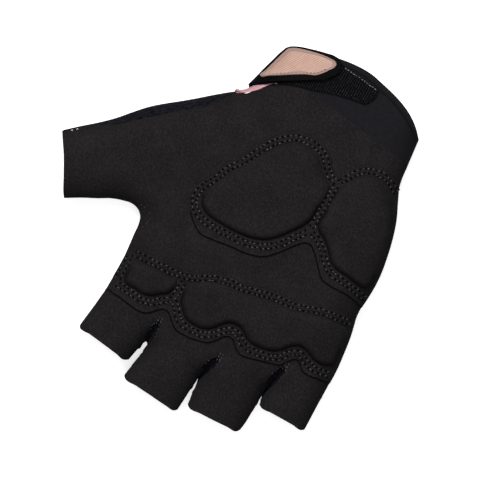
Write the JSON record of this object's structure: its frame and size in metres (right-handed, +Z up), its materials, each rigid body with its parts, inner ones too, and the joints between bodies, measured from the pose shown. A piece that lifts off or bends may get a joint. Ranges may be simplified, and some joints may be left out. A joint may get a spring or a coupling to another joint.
{
  "type": "cycling glove",
  "caption": "Right-hand half-finger cycling glove lying palm up, with padded suede overlays on the heel and knuckles, stretch strips, a cuff and a wrist closure tab.",
  "frame": {"origin": "on the surface that the glove lies on, under the middle of its outline", "axes": "+Z up out of the palm side, +Y from the fingers towards the wrist, +X from the thumb towards the little finger"},
  "size_m": [0.1482, 0.1592, 0.0296],
  "materials": {
    "suede": "matte",
    "stretch": "matte",
    "navy_stretch": "matte",
    "loop_tape": "matte",
    "strap_black": "satin",
    "inlay_weave": "matte",
    "trim_fabric": "matte"
  },
  "bodies": {
    "root": {"palm_panel": "suede", "back_panel": "stretch", "fourchette_index_middle": "navy_stretch", "fourchette_middle_ring": "navy_stretch", "fourchette_ring_little": "navy_stretch", "thumb_gusset": "navy_stretch", "cuff": "stretch", "heel_overlay": "suede", "heel_centre_pad": "suede", "heel_outer_pad": "suede", "knuckle_overlay": "suede", "index_pad": "suede", "finger_pad": "suede", "loop_patch": "loop_tape", "closure_strap": "strap_black", "strap_inlay": "inlay_weave", "wrist_trim": "trim_fabric"}
  },
  "joints": []
}
